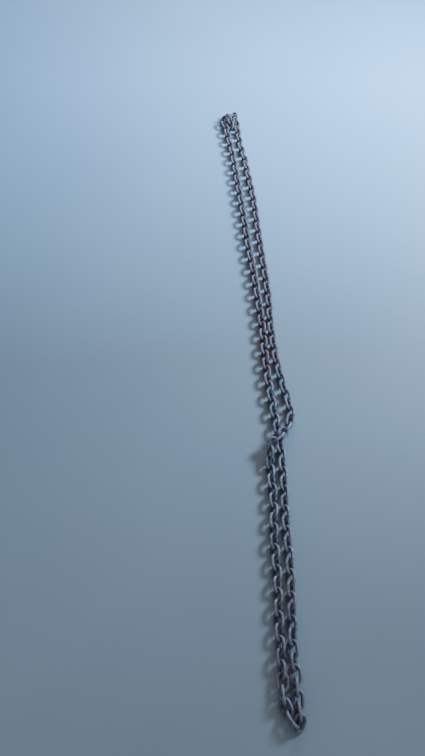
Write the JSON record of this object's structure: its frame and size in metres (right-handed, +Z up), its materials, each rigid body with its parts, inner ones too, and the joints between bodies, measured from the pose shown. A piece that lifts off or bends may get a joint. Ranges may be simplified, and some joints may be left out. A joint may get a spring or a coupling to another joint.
{
  "type": "steel chain",
  "caption": "Long rusty steel chain of short welded links, folded double and laid out flat, with one strand crossing over the other and both ends bunched together.",
  "frame": {"origin": "middle of the chain's outline, on the floor it lies on", "axes": "+Y along the laid-out length from the folded end to the bunched loose ends, +X to the side the crossing strand comes from, +Z up"},
  "size_m": [0.1576, 2.4556, 0.0569],
  "materials": {
    "chain_steel": "dull, oxide-dark and rust-stained, worn brighter on the crowns"
  },
  "bodies": {
    "root": {"over_strand_end_link": "chain_steel", "over_strand_link_81": "chain_steel", "over_strand_link_80": "chain_steel", "over_strand_link_79": "chain_steel", "over_strand_link_78": "chain_steel", "over_strand_links_76_to_77": "chain_steel", "over_strand_links_71_to_75": "chain_steel", "over_strand_links_66_to_70": "chain_steel", "over_strand_links_61_to_65": "chain_steel", "over_strand_links_56_to_60": "chain_steel", "over_strand_links_51_to_55": "chain_steel", "over_strand_links_46_to_50": "chain_steel", "over_strand_links_41_to_45": "chain_steel", "over_strand_links_36_to_40": "chain_steel", "over_strand_links_31_to_35": "chain_steel", "over_strand_link_30": "chain_steel", "over_strand_link_29": "chain_steel", "over_strand_link_28": "chain_steel", "over_strand_link_27": "chain_steel", "over_strand_link_26": "chain_steel", "over_strand_link_25": "chain_steel", "over_strand_link_24": "chain_steel", "over_strand_links_21_to_23": "chain_steel", "over_strand_links_16_to_20": "chain_steel", "over_strand_link_15": "chain_steel", "over_strand_link_14": "chain_steel", "over_strand_links_11_to_13": "chain_steel", "over_strand_links_06_to_10": "chain_steel", "over_strand_link_05": "chain_steel", "over_strand_link_04": "chain_steel", "over_strand_link_03": "chain_steel", "over_strand_link_02": "chain_steel", "over_strand_link_01": "chain_steel", "bend_link": "chain_steel", "under_strand_link_01": "chain_steel", "under_strand_link_02": "chain_steel", "under_strand_link_03": "chain_steel", "under_strand_link_04": "chain_steel", "under_strand_link_05": "chain_steel", "under_strand_links_06_to_10": "chain_steel", "under_strand_links_11_to_15": "chain_steel", "under_strand_links_16_to_20": "chain_steel", "under_strand_links_21_to_25": "chain_steel", "under_strand_links_26_to_30": "chain_steel", "under_strand_links_31_to_35": "chain_steel", "under_strand_links_36_to_40": "chain_steel", "under_strand_links_41_to_45": "chain_steel", "under_strand_links_46_to_50": "chain_steel", "under_strand_links_51_to_55": "chain_steel", "under_strand_links_56_to_60": "chain_steel", "under_strand_links_61_to_65": "chain_steel", "under_strand_links_66_to_70": "chain_steel", "under_strand_links_71_to_75": "chain_steel", "under_strand_link_76": "chain_steel", "under_strand_link_77": "chain_steel", "under_strand_link_78": "chain_steel", "under_strand_link_79": "chain_steel", "under_strand_link_80": "chain_steel", "under_strand_end_link": "chain_steel"}
  },
  "joints": []
}
